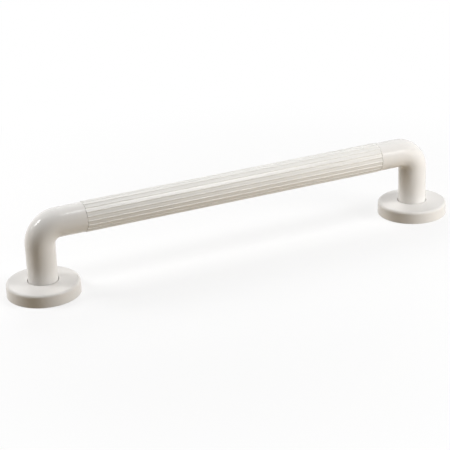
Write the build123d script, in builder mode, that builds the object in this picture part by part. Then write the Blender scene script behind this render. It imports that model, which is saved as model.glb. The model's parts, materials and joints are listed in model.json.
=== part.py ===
from build123d import *
import os

# Plastic grab bar, in millimetres. X runs along the bar, Z points away from the wall, and the origin lies
# on the wall face, midway between the two legs.

# Bar
fixing_centres = 457.0
bar_height = 77.0

# Elbow moulding: leg, bend and socket
elbow_diameter = 32.4
bend_inside_radius = 4.8
socket_length = 28.5
socket_stop = 2.5
stop_step = 0.8
mouth_bevel = 0.5

# Aluminium core that joins the elbows
core_diameter = 25.4
core_wall = 1.6
core_fit = 0.1
core_end_gap = 0.4

# Fluted grip
crest_diameter = 33.4
rib_count = 20
rib_height = 0.6
rib_width = 1.8
seam_gap = 0.15

# Cover that hides the fixing flange
cover_diameter = 80.0
cover_height = 15.5
cover_rise = 1.4
cover_draft = 0.25
cover_edge_radius = 3.0
cover_wall = 2.2
cover_leg_gap = 0.7
cover_wall_gap = 0.3
bore_bevel = 0.4
grip_rib_count = 6
grip_rib_width = 1.6
grip_rib_depth = 0.65
grip_rib_embed = 0.5
grip_fit = 0.15
seat_reach = 1.5
seat_gap = 0.1

# Fixing flange at the foot of each elbow, one screw of which stands outboard
flange_head_room = 3.9
flange_plate = 3.6
flange_rim = 3.0
flange_lead_in = 0.8
foot_bevel = 2.0
screw_count = 3
screw_angle = 180.0
screw_hole_diameter = 5.2
screw_head_diameter = 10.0
screw_boss_wall = 3.0
back_rib = 2.4
gusset_thickness = 3.0
gusset_height = 3.0
gusset_margin = 4.0
countersink_angle = 90.0

# Self-tapping screws that hold the elbows on the core
retainer_diameter = 3.5
retainer_head_diameter = 6.8
retainer_length = 8.0
retainer_point = 2.5
retainer_fit = 0.05
retainer_sink = 0.5
recess_length = 3.6
recess_width = 0.9
recess_depth = 1.2

# Elbow and core
leg_x = fixing_centres / 2
leg_radius = elbow_diameter / 2
bend_radius = leg_radius + bend_inside_radius
seam_x = leg_x - bend_radius - socket_length
socket_depth = socket_length - socket_stop
core_radius = core_diameter / 2
core_bore_radius = core_radius + core_fit
core_half_length = seam_x + socket_depth - core_end_gap
elbow_bore_radius = core_bore_radius - stop_step

# Grip
crest_radius = crest_diameter / 2
valley_radius = crest_radius - rib_height
rib_radius = (rib_width**2 / 4 + rib_height**2) / (2 * rib_height)
sleeve_half_length = seam_x - seam_gap

# Cover, and the flange that fits in it
cover_radius = cover_diameter / 2
cover_bore_radius = leg_radius + cover_leg_gap
shoulder_height = cover_height - cover_rise
skirt_radius = cover_radius - cover_wall
grip_radius = skirt_radius - grip_rib_depth
flange_radius = grip_radius - grip_fit
flange_height = shoulder_height - cover_wall - flange_head_room
seat_height = flange_height + seat_gap
seat_radius = flange_radius - flange_lead_in - seat_reach
screw_circle_radius = (leg_radius + flange_radius) / 2
screw_boss_radius = screw_hole_diameter / 2 + screw_boss_wall
screw_pitch = 360 / screw_count
grip_rib_pitch = 360 / grip_rib_count

# Retaining screws, in the middle of each socket
retainer_x = seam_x + socket_depth / 2
retainer_z = bar_height - leg_radius + retainer_sink
retainer_radius = retainer_diameter / 2
retainer_hole_radius = retainer_radius + retainer_fit
retainer_head_radius = retainer_head_diameter / 2

# The left leg's foot, the bar's section, and the left arm's underside where its screw goes in
left_foot = Plane(origin=(-leg_x, 0, 0))
left_leg_axis = Axis((-leg_x, 0, 0), (0, 0, 1))
left_retainer = Plane(origin=(-retainer_x, 0, retainer_z), x_dir=(1, 0, 0), z_dir=(0, 0, -1))
left_retainer_axis = Axis(left_retainer.origin, (0, 0, 1))
bar_section = Plane(origin=(0, 0, bar_height), x_dir=(0, 1, 0), z_dir=(1, 0, 0))

os.makedirs("parts", exist_ok=True)


def upright(angle):
    """The plane through the left leg's axis whose x axis points outward at the given angle."""
    outward = Vector(1, 0, 0).rotate(Axis.Z, angle)
    return Plane(origin=left_foot.origin, x_dir=outward, z_dir=outward.cross(Vector(0, 0, 1)))


# Fluted grip: a tube with narrow round ribs, one of them along the top
with BuildPart() as fluted_sleeve:
    with BuildSketch(bar_section):
        Circle(valley_radius)
        with PolarLocations(crest_radius - rib_radius, rib_count, start_angle=90):
            Circle(rib_radius)
        Circle(core_bore_radius, mode=Mode.SUBTRACT)
    extrude(amount=sleeve_half_length, both=True)
fluted_sleeve.part.label = "fluted_sleeve"
export_step(fluted_sleeve.part, "parts/fluted_sleeve.step")

# Aluminium core: it reaches almost to the stop in each socket and has a hole for each retaining screw
with BuildPart() as core_tube:
    with BuildSketch(bar_section):
        Circle(core_radius)
        Circle(core_radius - core_wall, mode=Mode.SUBTRACT)
    extrude(amount=core_half_length, both=True)
    with BuildSketch(Plane.XY.offset(bar_height)):
        with Locations((-retainer_x, 0), (retainer_x, 0)):
            Circle(retainer_hole_radius)
    extrude(amount=-core_diameter, mode=Mode.SUBTRACT)
core_tube.part.label = "core_tube"
export_step(core_tube.part, "parts/core_tube.step")

# Elbow moulding
with BuildPart() as left_elbow:
    # Leg, bend and arm as one round bar, bevelled at the mouth
    with BuildLine(Plane.XZ) as elbow_path:
        leg = Line((-leg_x, 0), (-leg_x, bar_height - bend_radius))
        bend = JernArc(leg @ 1, leg % 1, bend_radius, -90)
        Line(bend @ 1, (-seam_x, bar_height))
    with BuildSketch(left_foot):
        Circle(leg_radius)
    sweep(path=elbow_path.line)
    chamfer(edges().filter_by(GeomType.CIRCLE).sort_by(Axis.X)[-1], mouth_bevel)

    # Fixing flange, bevelled up to the leg, with a lead-in on its rim for the cover
    with BuildSketch(left_foot):
        Circle(flange_radius)
    extrude(amount=flange_height)
    flange_top = edges().filter_by_position(Axis.Z, flange_height, flange_height)
    chamfer(flange_top.sort_by(SortBy.RADIUS)[0], foot_bevel)
    flange_top = edges().filter_by_position(Axis.Z, flange_height, flange_height)
    chamfer(flange_top.sort_by(SortBy.RADIUS)[-1], flange_lead_in)

    # Gussets from the flange to the leg, between the screws
    for step in range(screw_count):
        with BuildSketch(upright(screw_angle + screw_pitch * (step + 0.5))):
            Polygon(
                (elbow_bore_radius, 0),
                (flange_radius - gusset_margin, 0),
                (flange_radius - gusset_margin, flange_height),
                (leg_radius, flange_height + gusset_height),
                (elbow_bore_radius, flange_height + gusset_height),
                align=None,
            )
        extrude(amount=gusset_thickness / 2, both=True)

    # Back of the flange, cored out round the screw bosses and between stiffening ribs
    with BuildSketch(left_foot):
        Circle(flange_radius - flange_rim)
        Circle(leg_radius, mode=Mode.SUBTRACT)
        with PolarLocations(screw_circle_radius, screw_count, start_angle=screw_angle):
            Circle(screw_boss_radius, mode=Mode.SUBTRACT)
        with PolarLocations(0, 2 * screw_count, start_angle=screw_angle):
            Rectangle(flange_radius, back_rib, align=(Align.MIN, Align.CENTER), mode=Mode.SUBTRACT)
    extrude(amount=flange_height - flange_plate, mode=Mode.SUBTRACT)

    # Countersunk holes for the wall screws
    with Locations(left_foot.offset(flange_height)):
        with PolarLocations(screw_circle_radius, screw_count, start_angle=screw_angle):
            CounterSinkHole(
                screw_hole_diameter / 2, screw_head_diameter / 2, flange_height, countersink_angle
            )

    # Hollow right through, stepped to make the socket for the core
    with BuildSketch(left_foot):
        Circle(elbow_bore_radius)
    sweep(path=elbow_path.line, mode=Mode.SUBTRACT)
    with BuildSketch(bar_section.offset(-seam_x)):
        Circle(core_bore_radius)
    extrude(amount=-socket_depth, mode=Mode.SUBTRACT)

    # Countersunk hole for the retaining screw, on the side that faces the wall
    with Locations(left_retainer):
        CounterSinkHole(
            retainer_hole_radius, retainer_head_radius + retainer_fit, core_radius, countersink_angle
        )
left_elbow.part.label = "left_elbow"
export_step(left_elbow.part, "parts/left_elbow.step")

with BuildPart() as right_elbow:
    mirror(left_elbow.part, about=Plane.YZ)
right_elbow.part.label = "right_elbow"
export_step(right_elbow.part, "parts/right_elbow.step")

# Flange cover: it slides on the leg and grips the rim of the flange
with BuildPart() as left_flange_cover:
    # Wall of the cover in section: a rounded shoulder, and a top that rises a little towards the leg
    with BuildSketch(upright(0)):
        Polygon(
            (cover_radius, cover_wall_gap),
            (cover_radius - cover_draft, shoulder_height),
            (cover_bore_radius + bore_bevel, cover_height),
            (cover_bore_radius, cover_height - bore_bevel),
            (cover_bore_radius, cover_height - cover_wall),
            (skirt_radius - cover_draft, shoulder_height - cover_wall),
            (skirt_radius, cover_wall_gap),
            align=None,
        )
        fillet(vertices().sort_by(Axis.X)[-2], cover_edge_radius)
    revolve(axis=left_leg_axis)

    # Stepped ribs, of which the lower part grips the flange's rim and the upper part sits on the flange
    for step in range(grip_rib_count):
        with BuildSketch(upright(grip_rib_pitch * (step + 0.5))):
            Polygon(
                (skirt_radius, cover_wall_gap + grip_rib_depth),
                (grip_radius, cover_wall_gap + 2 * grip_rib_depth),
                (grip_radius, seat_height),
                (seat_radius, seat_height),
                (seat_radius, shoulder_height - cover_wall + grip_rib_embed),
                (skirt_radius + grip_rib_embed, shoulder_height - cover_wall + grip_rib_embed),
                (skirt_radius + grip_rib_embed, cover_wall_gap + grip_rib_depth),
                align=None,
            )
        extrude(amount=grip_rib_width / 2, both=True)
left_flange_cover.part.label = "left_flange_cover"
export_step(left_flange_cover.part, "parts/left_flange_cover.step")

with BuildPart() as right_flange_cover:
    mirror(left_flange_cover.part, about=Plane.YZ)
right_flange_cover.part.label = "right_flange_cover"
export_step(right_flange_cover.part, "parts/right_flange_cover.step")

# Retaining screws: countersunk, with a cross recess
with BuildPart() as retaining_screws:
    with BuildSketch(Plane(origin=left_retainer.origin, x_dir=(1, 0, 0), z_dir=(0, -1, 0))):
        Polygon(
            (0, 0),
            (retainer_head_radius, 0),
            (retainer_radius, retainer_head_radius - retainer_radius),
            (retainer_radius, retainer_length - retainer_point),
            (0, retainer_length),
            align=None,
        )
    revolve(axis=left_retainer_axis)
    with BuildSketch(left_retainer):
        Rectangle(recess_length, recess_width)
        Rectangle(recess_width, recess_length)
    extrude(amount=-recess_depth, mode=Mode.SUBTRACT)
    mirror(about=Plane.YZ)
retaining_screws.part.label = "retaining_screws"
export_step(retaining_screws.part, "parts/retaining_screws.step")
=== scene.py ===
# %% [markdown]
# # A white plastic grab bar
# A grab bar is screwed to the wall beside a bath or shower. This one has a fluted grip between two
# elbows, and a round cover over the screws at each foot. The solids come from a CAD model, in metres: X
# runs along the bar, Z points away from the wall, and the wall is the plane Z = 0. Blender doesn't
# change their shape. This lesson gives them their finishes, stands them on a pale floor and sets up the
# light and the camera.

# %% Load the solids
import json
import math

import bpy
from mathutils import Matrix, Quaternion, Vector


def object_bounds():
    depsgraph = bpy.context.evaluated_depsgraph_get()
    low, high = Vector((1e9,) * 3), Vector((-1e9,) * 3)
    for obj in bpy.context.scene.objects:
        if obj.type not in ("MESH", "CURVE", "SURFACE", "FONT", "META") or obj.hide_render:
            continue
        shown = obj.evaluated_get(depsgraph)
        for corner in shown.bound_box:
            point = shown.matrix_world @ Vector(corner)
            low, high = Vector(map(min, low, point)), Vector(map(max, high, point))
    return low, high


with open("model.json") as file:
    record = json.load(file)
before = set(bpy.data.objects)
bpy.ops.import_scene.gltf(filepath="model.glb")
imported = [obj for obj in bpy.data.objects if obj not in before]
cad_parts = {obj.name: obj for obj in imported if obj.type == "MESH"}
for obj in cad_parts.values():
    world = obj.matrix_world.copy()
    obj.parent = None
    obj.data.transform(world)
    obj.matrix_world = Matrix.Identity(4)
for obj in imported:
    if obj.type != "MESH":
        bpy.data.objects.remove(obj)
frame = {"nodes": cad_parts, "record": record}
cad_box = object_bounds()
mm = 0.001
print("solids:", sorted(frame["nodes"]))
print("box in mm:", [[round(x / mm, 1) for x in corner] for corner in cad_box])

# %% [markdown]
# ## Colours and nodes
# Colours are easiest to read as the hex values of a colour picker, which are in sRGB. Shaders work in
# linear light, so one function turns one into the other, with the numbers of the sRGB standard. A
# second function adds a node to a material, with its settings and links, so that the materials below
# read like a list of what they are made of. The nodes could also be drawn by hand in the shader editor,
# but then this file wouldn't hold them.

# %% Two small helpers
def linear(hex_colour):
    """Turns a hex colour such as #EEEAE2 into linear red, green, blue and alpha."""
    channels = [int(hex_colour[i : i + 2], 16) / 255 for i in (1, 3, 5)]
    return [c / 12.92 if c <= 0.04045 else ((c + 0.055) / 1.055) ** 2.4 for c in channels] + [1.0]


def add_node(tree, kind, inputs, **settings):
    """Adds a node. An input is either a value or another node's output, which is then linked to it."""
    node = tree.nodes.new("ShaderNode" + kind)
    for name, value in settings.items():
        setattr(node, name, value)
    for name, value in inputs.items():
        if isinstance(value, bpy.types.NodeSocket):
            tree.links.new(value, node.inputs[name])
        else:
            node.inputs[name].default_value = value
    return node


print("mid grey #808080 in linear light:", [round(c, 3) for c in linear("#808080")])

# %% [markdown]
# ## A new material
# Every finish here starts in the same way, with an empty node tree and the place of each point on the
# piece. Object coordinates give that place. They are in metres, so a pattern's scale is one over its
# real size, and they stay with the piece when it moves. Noise textures run from 0 to 1 but keep mostly
# to the middle of that range, so where one sets the gloss, only that middle span is used.

# %% Start a material
noise_span = {"From Min": 0.3, "From Max": 0.7}


def start_material(name):
    """A material with an empty tree. Returns it, its tree and the place of each point on the piece."""
    material = bpy.data.materials.new(name)
    material.use_nodes = True
    tree = material.node_tree
    tree.nodes.clear()
    place = add_node(tree, "TexCoord", {}).outputs["Object"]
    return material, tree, place


print("a pattern 50 mm across has a scale of", round(1 / (50 * mm)))

# %% [markdown]
# ## Moulded white ABS
# The elbows and covers are injection moulded in ABS. The mould's walls are polished but not mirror
# bright, so the plastic comes out semi-gloss: highlights with soft edges and a faint orange-peel ripple
# in them. The pigment is a warm white, and it is mixed well but never perfectly, so the colour drifts a
# little over a few centimetres. The drift and the ripple are two noise textures. A photograph of the
# surface would also work, but it would have to be unwrapped on every piece.

# %% Moulded ABS
plastic_ior = 1.53


def moulded_abs():
    """ABS out of a polished mould: a warm white whose highlights are bright and soft at the edges."""
    material, tree, place = start_material("moulded_white_abs")
    drift_size, ripple_size, ripple_depth = 45 * mm, 2.2 * mm, 0.012 * mm
    smoothest, roughest = 0.15, 0.2
    drift = add_node(tree, "TexNoise", {"Vector": place, "Scale": 1 / drift_size, "Detail": 2.0})
    colour = add_node(
        tree,
        "Mix",
        {"Factor": drift.outputs["Fac"], "A": linear("#F1EFEC"), "B": linear("#EEEBE7")},
        data_type="RGBA",
    )
    gloss = add_node(
        tree,
        "MapRange",
        {"Value": drift.outputs["Fac"], **noise_span, "To Min": smoothest, "To Max": roughest},
    )
    ripple = add_node(tree, "TexNoise", {"Vector": place, "Scale": 1 / ripple_size, "Detail": 1.0})
    bump = add_node(tree, "Bump", {"Height": ripple.outputs["Fac"], "Distance": ripple_depth})
    shader = add_node(
        tree,
        "BsdfPrincipled",
        {
            "Base Color": colour.outputs["Result"],
            "Roughness": gloss.outputs["Result"],
            "Normal": bump.outputs["Normal"],
            "IOR": plastic_ior,
        },
    )
    add_node(tree, "OutputMaterial", {"Surface": shader.outputs["BSDF"]})
    return material


white_abs = moulded_abs()
print("made", white_abs.name, "with", len(white_abs.node_tree.nodes), "nodes")

# %% [markdown]
# ## Extruded white uPVC
# The grip is a uPVC tube pushed out of a die. The die's edges leave faint straight lines along the
# tube, and they spread the highlights across the bar rather than along it. So the noise is stretched: a
# few tenths of a millimetre wide round the tube, and centimetres long. The real lines are under a tenth
# of a millimetre wide, too fine to show here, so they are drawn a few times coarser. The ribs of the
# grip are far larger, and are real shapes in the solid. Lines this fine would take millions of faces,
# so a bump stands in for them.

# %% Extruded uPVC
def extruded_upvc():
    """uPVC out of a die: the same white, a little duller than a moulding, with faint lines along it."""
    material, tree, place = start_material("extruded_white_upvc")
    line_width, line_length, line_depth, drift_size = 0.4 * mm, 60 * mm, 0.01 * mm, 60 * mm
    smoothest, roughest = 0.2, 0.3
    drift = add_node(tree, "TexNoise", {"Vector": place, "Scale": 1 / drift_size, "Detail": 2.0})
    colour = add_node(
        tree,
        "Mix",
        {"Factor": drift.outputs["Fac"], "A": linear("#F1EFEB"), "B": linear("#EDEBE6")},
        data_type="RGBA",
    )
    along = add_node(
        tree, "Mapping", {"Vector": place, "Scale": (1 / line_length, 1 / line_width, 1 / line_width)}
    )
    lines = add_node(tree, "TexNoise", {"Vector": along.outputs["Vector"], "Scale": 1.0, "Detail": 2.0})
    gloss = add_node(
        tree,
        "MapRange",
        {"Value": lines.outputs["Fac"], **noise_span, "To Min": smoothest, "To Max": roughest},
    )
    bump = add_node(tree, "Bump", {"Height": lines.outputs["Fac"], "Distance": line_depth})
    shader = add_node(
        tree,
        "BsdfPrincipled",
        {
            "Base Color": colour.outputs["Result"],
            "Roughness": gloss.outputs["Result"],
            "Normal": bump.outputs["Normal"],
            "IOR": plastic_ior,
        },
    )
    add_node(tree, "OutputMaterial", {"Surface": shader.outputs["BSDF"]})
    return material


white_upvc = extruded_upvc()
print("made", white_upvc.name, "with", len(white_upvc.node_tree.nodes), "nodes")

# %% [markdown]
# ## Mill-finish aluminium
# The core tube inside the bar is drawn aluminium with no coating. Drawing leaves long scratches, so it
# looks satin and a little streaked. The same stretched noise as on the grip gives the scratches. An
# anisotropic shader could smear the reflections instead, but it would show no single scratch. A metal's
# colour is the colour of its reflections, so the base colour is a light grey.

# %% Mill-finish aluminium
def mill_aluminium():
    """Drawn aluminium: a light neutral grey metal, satin, with streaks along it."""
    material, tree, place = start_material("mill_finish_aluminium")
    scratch_width, scratch_length, scratch_depth = 0.3 * mm, 80 * mm, 0.006 * mm
    smoothest, roughest = 0.3, 0.42
    along = add_node(
        tree,
        "Mapping",
        {"Vector": place, "Scale": (1 / scratch_length, 1 / scratch_width, 1 / scratch_width)},
    )
    scratches = add_node(tree, "TexNoise", {"Vector": along.outputs["Vector"], "Scale": 1.0, "Detail": 3.0})
    colour = add_node(
        tree,
        "Mix",
        {"Factor": scratches.outputs["Fac"], "A": linear("#DADBDC"), "B": linear("#C6C8CB")},
        data_type="RGBA",
    )
    gloss = add_node(
        tree,
        "MapRange",
        {"Value": scratches.outputs["Fac"], **noise_span, "To Min": smoothest, "To Max": roughest},
    )
    bump = add_node(tree, "Bump", {"Height": scratches.outputs["Fac"], "Distance": scratch_depth})
    shader = add_node(
        tree,
        "BsdfPrincipled",
        {
            "Base Color": colour.outputs["Result"],
            "Roughness": gloss.outputs["Result"],
            "Normal": bump.outputs["Normal"],
            "Metallic": 1.0,
        },
    )
    add_node(tree, "OutputMaterial", {"Surface": shader.outputs["BSDF"]})
    return material


aluminium = mill_aluminium()
print("made", aluminium.name, "with", len(aluminium.node_tree.nodes), "nodes")

# %% [markdown]
# ## Zinc-plated steel
# The screws that hold the elbows on the core are steel with a thin bright zinc plating. Zinc looks
# bluish white and a little cloudy: the plating bath leaves patches a millimetre or two across that
# differ more in gloss than in colour. One noise texture drives the colour, the gloss and a slight
# relief. A pattern of cells would show hard edges, as hot-dipped zinc has them and a thin plating
# doesn't.

# %% Zinc-plated steel
def zinc_plated_steel():
    """Zinc plating: a bluish white metal whose gloss changes in cloudy patches."""
    material, tree, place = start_material("zinc_plated_steel")
    patch_size, patch_depth = 1.2 * mm, 0.004 * mm
    smoothest, roughest = 0.22, 0.4
    patches = add_node(tree, "TexNoise", {"Vector": place, "Scale": 1 / patch_size, "Detail": 2.0})
    colour = add_node(
        tree,
        "Mix",
        {"Factor": patches.outputs["Fac"], "A": linear("#D3D6DA"), "B": linear("#B4B9C0")},
        data_type="RGBA",
    )
    gloss = add_node(
        tree,
        "MapRange",
        {"Value": patches.outputs["Fac"], **noise_span, "To Min": smoothest, "To Max": roughest},
    )
    bump = add_node(tree, "Bump", {"Height": patches.outputs["Fac"], "Distance": patch_depth})
    shader = add_node(
        tree,
        "BsdfPrincipled",
        {
            "Base Color": colour.outputs["Result"],
            "Roughness": gloss.outputs["Result"],
            "Normal": bump.outputs["Normal"],
            "Metallic": 1.0,
        },
    )
    add_node(tree, "OutputMaterial", {"Surface": shader.outputs["BSDF"]})
    return material


plated_steel = zinc_plated_steel()
print("made", plated_steel.name, "with", len(plated_steel.node_tree.nodes), "nodes")

# %% [markdown]
# ## Give each piece its finish
# The mouldings are ABS, the grip uPVC, the core aluminium and the screws plated steel. The record that
# comes with the solids says so, as a slot name for each piece. Each piece could be dressed by a line of
# its own, but a table from slot to material keeps the choice in one place, and one loop then dresses
# them all.

# %% Dress the pieces
finishes = {
    "white_abs": white_abs,
    "white_upvc": white_upvc,
    "aluminium": aluminium,
    "plated_steel": plated_steel,
}
for subpart in frame["record"]["subparts"]:
    piece = frame["nodes"][subpart["node"]]
    finish = finishes[subpart["material_slot"]]
    piece.data.materials.clear()
    piece.data.materials.append(finish)
    print(subpart["node"], "is", finish.name)

# %% [markdown]
# ## The room
# A catalogue photo has a white ground and nothing behind it. Lighting a room until it is pure white
# would overexpose the bar, so the room shows itself as plain white to the camera, and also in
# reflections and through glass, whatever the lamps do. For all other light it is nearly dark. Light
# Path tells the two apart, because it says what kind of ray has arrived.

# %% Room
white = linear("#FFFFFF")
room_light, backdrop_light = 0.02, 1.0


def seen_directly(tree):
    """1 for what the camera sees, also in reflections and through glass, and 0 for bounced light."""
    path = add_node(tree, "LightPath", {})
    mirrored = add_node(
        tree,
        "Math",
        {0: path.outputs["Is Camera Ray"], 1: path.outputs["Is Glossy Ray"]},
        operation="MAXIMUM",
    )
    through_glass = add_node(
        tree, "Math", {0: mirrored.outputs[0], 1: path.outputs["Is Transmission Ray"]}, operation="MAXIMUM"
    )
    return through_glass.outputs[0]


world = bpy.data.worlds.new("studio")
bpy.context.scene.world = world
world.use_nodes = True
world_tree = world.node_tree
world_tree.nodes.clear()
room = add_node(world_tree, "Background", {"Color": linear("#FFF4E4"), "Strength": room_light})
backdrop = add_node(world_tree, "Background", {"Color": white, "Strength": backdrop_light})
sky = add_node(
    world_tree,
    "MixShader",
    {"Fac": seen_directly(world_tree), 1: room.outputs["Background"], 2: backdrop.outputs["Background"]},
)
add_node(world_tree, "OutputWorld", {"Surface": sky.outputs["Shader"]})
print("the room's own light is", room_light, "and it is seen at", backdrop_light)

# %% [markdown]
# ## The floor
# The floor is seen as white in the same way. But a floor that only glows shows no shadow, and the bar
# would seem to float. So round the bar a quarter of what is seen is lit like white card, which keeps
# the shadow. Further out that share fades to nothing, before the lamps' own light does. For the light
# that bounces up from it, the floor is a warm grey card, because white card would fill in the
# undersides until the round forms look flat. It lies a tenth of a millimetre under the flanges, since
# two faces in one plane render as a patchwork, and it is so wide that its edge is out of sight.

# %% Floor
floor_width, floor_drop = 60.0, 0.1 * mm


def studio_ground():
    """A warm grey card for bounced light, and white with a faint shadow where it is seen."""
    material, tree, place = start_material("studio_ground")
    lit_share, lit_reach, lit_end, glow_strength = 0.25, 250 * mm, 550 * mm, 1.0
    grey_card = add_node(tree, "BsdfDiffuse", {"Color": linear("#A08D6C")})
    white_card = add_node(tree, "BsdfDiffuse", {"Color": white})
    glow = add_node(tree, "Emission", {"Color": white, "Strength": glow_strength})
    distance = add_node(tree, "VectorMath", {0: place}, operation="LENGTH")
    lit = add_node(
        tree,
        "MapRange",
        {
            "Value": distance.outputs["Value"],
            "From Min": lit_reach,
            "From Max": lit_end,
            "To Min": lit_share,
            "To Max": 0.0,
        },
        interpolation_type="SMOOTHSTEP",
    )
    seen = add_node(
        tree,
        "MixShader",
        {"Fac": lit.outputs["Result"], 1: glow.outputs["Emission"], 2: white_card.outputs["BSDF"]},
    )
    ground = add_node(
        tree,
        "MixShader",
        {"Fac": seen_directly(tree), 1: grey_card.outputs["BSDF"], 2: seen.outputs["Shader"]},
    )
    add_node(tree, "OutputMaterial", {"Surface": ground.outputs["Shader"]})
    return material


bpy.ops.mesh.primitive_plane_add(size=floor_width, location=(0, 0, -floor_drop))
floor = bpy.context.object
floor.name = "floor"
floor.data.materials.append(studio_ground())
print("floor", [round(x, 2) for x in floor.dimensions[:2]], "m")

# %% [markdown]
# ## Soft boxes
# Six lamps light the bar, each a bright rectangle placed by the angle round the bar and the height at
# which it stands, and turned to face it. Three larger ones give the round parts their form: a low one
# on the right shades the legs from bright to dark, and two behind the bar draw a pale line down their
# edges. In glossy plastic they would leave broad white patches, so they are hidden from reflections, as
# a photographer cuts glare with a polarising filter. Three smaller ones draw the highlights: one above,
# and one on each side. A picture of a studio all round the scene would be quicker, but its lights
# couldn't be moved one by one.

# %% Lamps
middle = (cad_box[0] + cad_box[1]) / 2
lamp_distance = 1.2


def soft_box(name, turn, height, size, power):
    """A lamp that faces the bar.

    turn is in degrees from +X towards +Y, height in degrees upwards, size in metres and power in watts.
    """
    lamp = bpy.data.lights.new(name, "AREA")
    lamp.shape = "RECTANGLE"
    lamp.size, lamp.size_y = size
    lamp.energy = power
    turn, height = math.radians(turn), math.radians(height)
    away = Vector((math.cos(turn) * math.cos(height), math.sin(turn) * math.cos(height), math.sin(height)))
    stand = bpy.data.objects.new(name, lamp)
    stand.location = middle + away * lamp_distance
    stand.rotation_euler = away.to_track_quat("Z", "Y").to_euler()
    bpy.context.scene.collection.objects.link(stand)
    return stand


form_lamps = [
    soft_box("right_box", 317, 13, (0.6, 0.4), 8.7),
    soft_box("left_back_box", 148, 28, (0.4, 0.6), 5.2),
    soft_box("back_box", 72, 44, (0.6, 0.5), 4.0),
]
highlight_lamps = [
    soft_box("top_box", 314, 64, (0.4, 0.4), 4.45),
    soft_box("left_strip", 160, 38, (0.16, 0.32), 3.3),
    soft_box("small_right_box", 311, 27, (0.12, 0.12), 0.5),
]
for stand in form_lamps:
    stand.visible_glossy = False
print("watts:", {stand.name: round(stand.data.energy, 2) for stand in form_lamps + highlight_lamps})

# %% [markdown]
# ## The camera
# The view is from the near left end of the bar, a little above it, with a long lens, so the far end is
# only slightly smaller than the near one. Azimuth and elevation say from where the camera looks. A
# Track To constraint could aim it instead, but would also hold it upright. Here it is turned by about
# two degrees round its own line of sight, because the bar's legs lean a little in the picture.

# %% Camera
azimuth, elevation, roll = math.radians(-24.451), math.radians(22.66), math.radians(-2.094)
camera_place = (-0.658879, -1.418164, 0.683413)
film_width, focal_length = 36.0, 121.476
camera_data = bpy.data.cameras.new("camera")
camera_data.sensor_width = film_width
camera_data.lens = focal_length
camera = bpy.data.objects.new("camera", camera_data)
back = Vector(
    (
        math.sin(azimuth) * math.cos(elevation),
        -math.cos(azimuth) * math.cos(elevation),
        math.sin(elevation),
    )
)
camera.location = camera_place
camera.rotation_mode = "QUATERNION"
camera.rotation_quaternion = (-back).to_track_quat("-Z", "Y") @ Quaternion((0, 0, 1), roll)
bpy.context.scene.collection.objects.link(camera)
bpy.context.scene.camera = camera
print("camera at", [round(x, 3) for x in camera.location], "m, with a", focal_length, "mm lens")

# %% [markdown]
# ## Show colours as they are
# Blender's usual view transform bends bright colours towards white, as film does. It suits scenes of
# strong contrast, but it would grey a white plastic. The Standard one shows a colour as it was written.

# %% View
bpy.context.scene.view_settings.view_transform = "Standard"
print("view transform:", bpy.context.scene.view_settings.view_transform)
